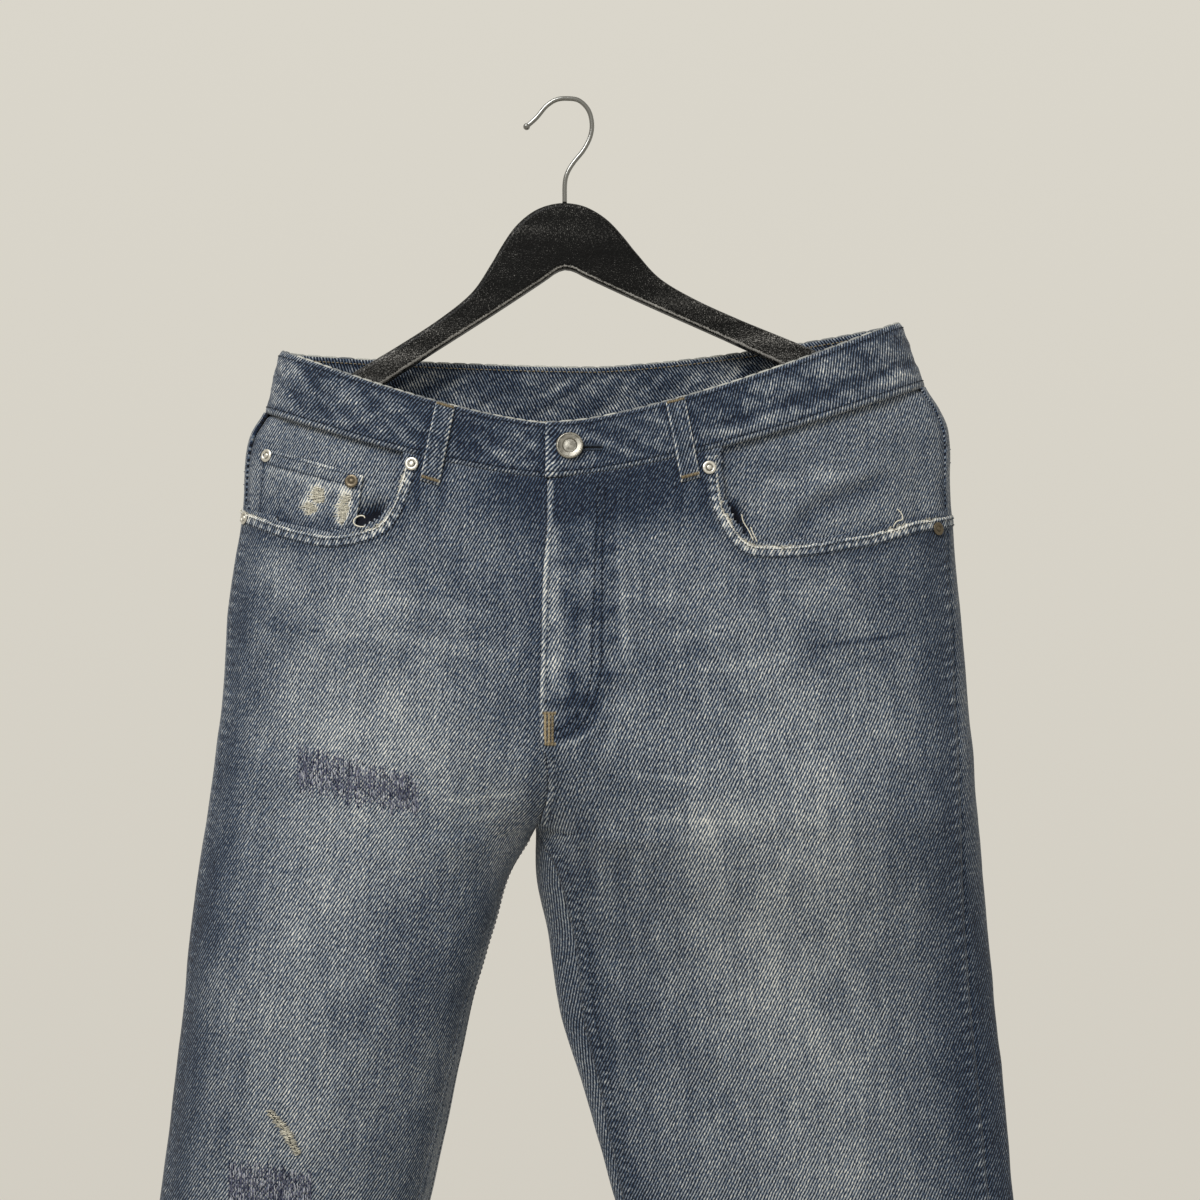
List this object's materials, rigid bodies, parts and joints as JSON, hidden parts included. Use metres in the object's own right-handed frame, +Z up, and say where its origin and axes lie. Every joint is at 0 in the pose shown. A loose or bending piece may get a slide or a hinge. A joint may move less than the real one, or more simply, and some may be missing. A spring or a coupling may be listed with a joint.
{
  "type": "distressed jeans hanging on a wooden hanger",
  "caption": "Worn straight-leg denim jeans with darned patches, frayed pocket edges and a button fly, hung by the waist on a black wooden hanger with a steel hook.",
  "frame": {"origin": "inner top of the steel hook, where a nail or rail holds the hanger", "axes": "+Z up, +X towards the wearer's left, the front of the jeans faces -Y"},
  "size_m": [0.6551, 0.1175, 1.2934],
  "materials": {
    "denim": "faded indigo right-hand twill, stone washed and worn light on the thighs",
    "denim_dark": "less faded indigo twill with pale worn edges",
    "stained_wood": "black stained wood with open grain and a satin lacquer",
    "steel_wire": "nickel plated steel wire",
    "antique_silver": "tarnished silver-plated brass",
    "antique_bronze": "darkened bronze-plated brass"
  },
  "bodies": {
    "root": {"back_left": "denim", "back_pocket_left": "denim", "back_pocket_right": "denim", "back_right": "denim", "belt_loop_back": "denim", "belt_loop_back_left": "denim", "belt_loop_back_right": "denim", "belt_loop_front_left": "denim", "belt_loop_front_right": "denim", "coin_pocket": "denim", "front_left": "denim", "front_right": "denim", "hanger_body": "stained_wood", "hanger_hook": "steel_wire", "hem_left": "denim_dark", "hem_right": "denim_dark", "pocket_facing_left": "denim", "pocket_facing_right": "denim", "rivet_coin": "antique_bronze", "rivet_left_inner": "antique_silver", "rivet_left_seam": "antique_bronze", "rivet_right_inner": "antique_silver", "rivet_right_outer": "antique_silver", "rivet_right_seam": "antique_silver", "waist_button": "antique_silver", "waistband": "denim_dark", "yoke_left": "denim", "yoke_right": "denim"}
  },
  "joints": []
}
